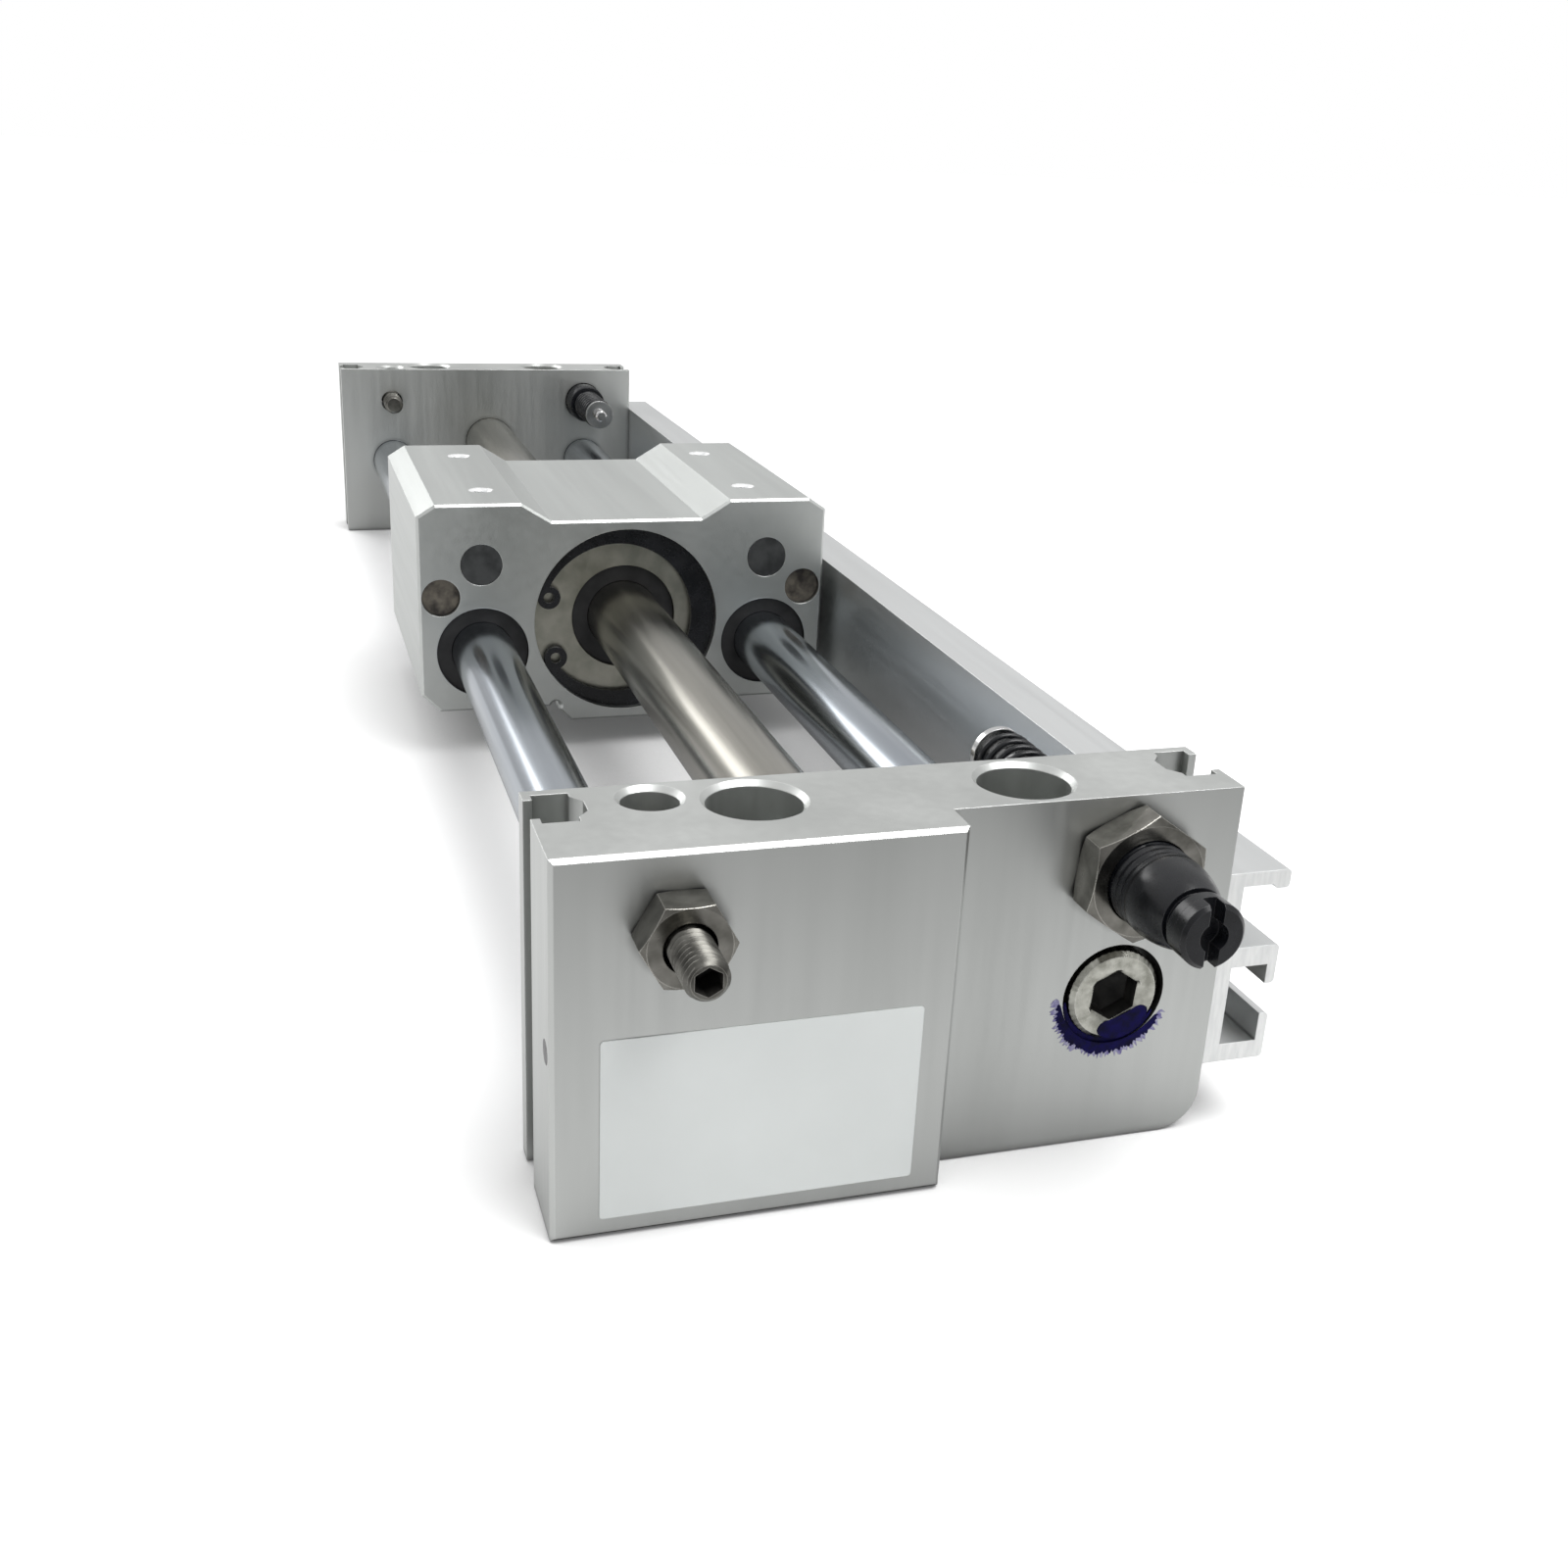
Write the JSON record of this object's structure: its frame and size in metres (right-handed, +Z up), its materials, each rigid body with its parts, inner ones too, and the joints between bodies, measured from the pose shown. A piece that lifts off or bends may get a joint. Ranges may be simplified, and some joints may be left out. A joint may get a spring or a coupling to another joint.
{
  "type": "rodless pneumatic cylinder",
  "caption": "Magnetically coupled rodless air cylinder: a slider block rides two guide shafts and a tube between end plates with stop bolts, shock absorbers and a switch rail.",
  "frame": {"origin": "centre of the four base holes, on the plane that the end plates stand on", "axes": "+Y along the stroke from the block plate to the plain plate, +Z up out of the slider's mounting face, +X towards the switch rail"},
  "size_m": [0.0793, 0.341, 0.0421],
  "materials": {
    "anodised": "satin clear anodised extrusion",
    "slider_anodised": "satin clear anodised extrusion",
    "stainless_tube": "drawn stainless, warm sheen",
    "hard_chrome": "ground and hard chromed",
    "nickel": "nickel plated",
    "champagne_washer": "turned and plated",
    "black_steel": "blackened steel",
    "rod_steel": "ground rod",
    "pad_steel": "dark hardened steel",
    "yoke_steel": "turned steel",
    "magnet": "sintered magnet, dark",
    "bronze": "oiled bronze",
    "rubber": "black nitrile",
    "polymer": "filled polymer",
    "felt": "oiled felt"
  },
  "bodies": {
    "frame": {"front_plate": "anodised", "rear_plate": "anodised", "cylinder_tube": "stainless_tube", "tube_seals": "rubber", "left_guide_shaft": "hard_chrome", "right_guide_shaft": "hard_chrome", "shaft_gaskets": "rubber", "shaft_end_screws": "nickel", "shaft_set_screws": "black_steel", "passage_plug": "black_steel", "front_adjust_bolt": "nickel", "rear_adjust_bolt": "nickel", "adjust_lock_nuts": "nickel", "front_absorber_body": "black_steel", "rear_absorber_body": "black_steel", "absorber_lock_nuts": "nickel", "absorber_rod_guides": "bronze", "front_absorber_spring": "black_steel", "rear_absorber_spring": "black_steel", "switch_rail": "anodised", "rail_screws": "nickel", "rail_nuts": "nickel"},
    "carriage": {"slider_block": "slider_anodised", "guide_bushes": "bronze", "guide_wipers": "rubber", "retaining_rings": "black_steel", "cartridge_washers": "champagne_washer", "tube_scrapers": "rubber", "felt_rings": "felt", "tube_wear_rings": "polymer", "magnet_sleeve": "slider_anodised", "outer_magnets": "magnet", "outer_yokes": "yoke_steel", "stop_pads": "pad_steel", "switch_magnets": "magnet"},
    "piston": {"piston_core": "yoke_steel", "piston_magnets": "magnet", "piston_yokes": "yoke_steel", "piston_heads": "anodised", "piston_wear_rings": "polymer", "piston_seals": "rubber", "piston_nuts": "nickel", "piston_bumpers": "polymer"},
    "front_rod": {"front_absorber_rod": "rod_steel"},
    "rear_rod": {"rear_absorber_rod": "rod_steel"}
  },
  "joints": [
    {"name": "carriage_slide", "type": "slide", "parent": "frame", "child": "carriage", "axis": [0, 1, 0], "range_m": [-0.0937, 0.0897]},
    {"name": "piston_slide", "type": "slide", "parent": "frame", "child": "piston", "axis": [0, 1, 0], "range_m": [-0.0937, 0.0897]},
    {"name": "front_absorber_press", "type": "slide", "parent": "frame", "child": "front_rod", "axis": [0, -1, 0], "range_m": [0, 0.008], "stiffness_N_per_m": 230, "springref_m": -0.0085, "deforming": ["front_absorber_spring"]},
    {"name": "rear_absorber_press", "type": "slide", "parent": "frame", "child": "rear_rod", "axis": [0, 1, 0], "range_m": [0, 0.008], "stiffness_N_per_m": 230, "springref_m": -0.0085, "deforming": ["rear_absorber_spring"]}
  ],
  "couplings": [
    {"joint": "piston_slide", "follows": "carriage_slide", "ratio": 1}
  ]
}
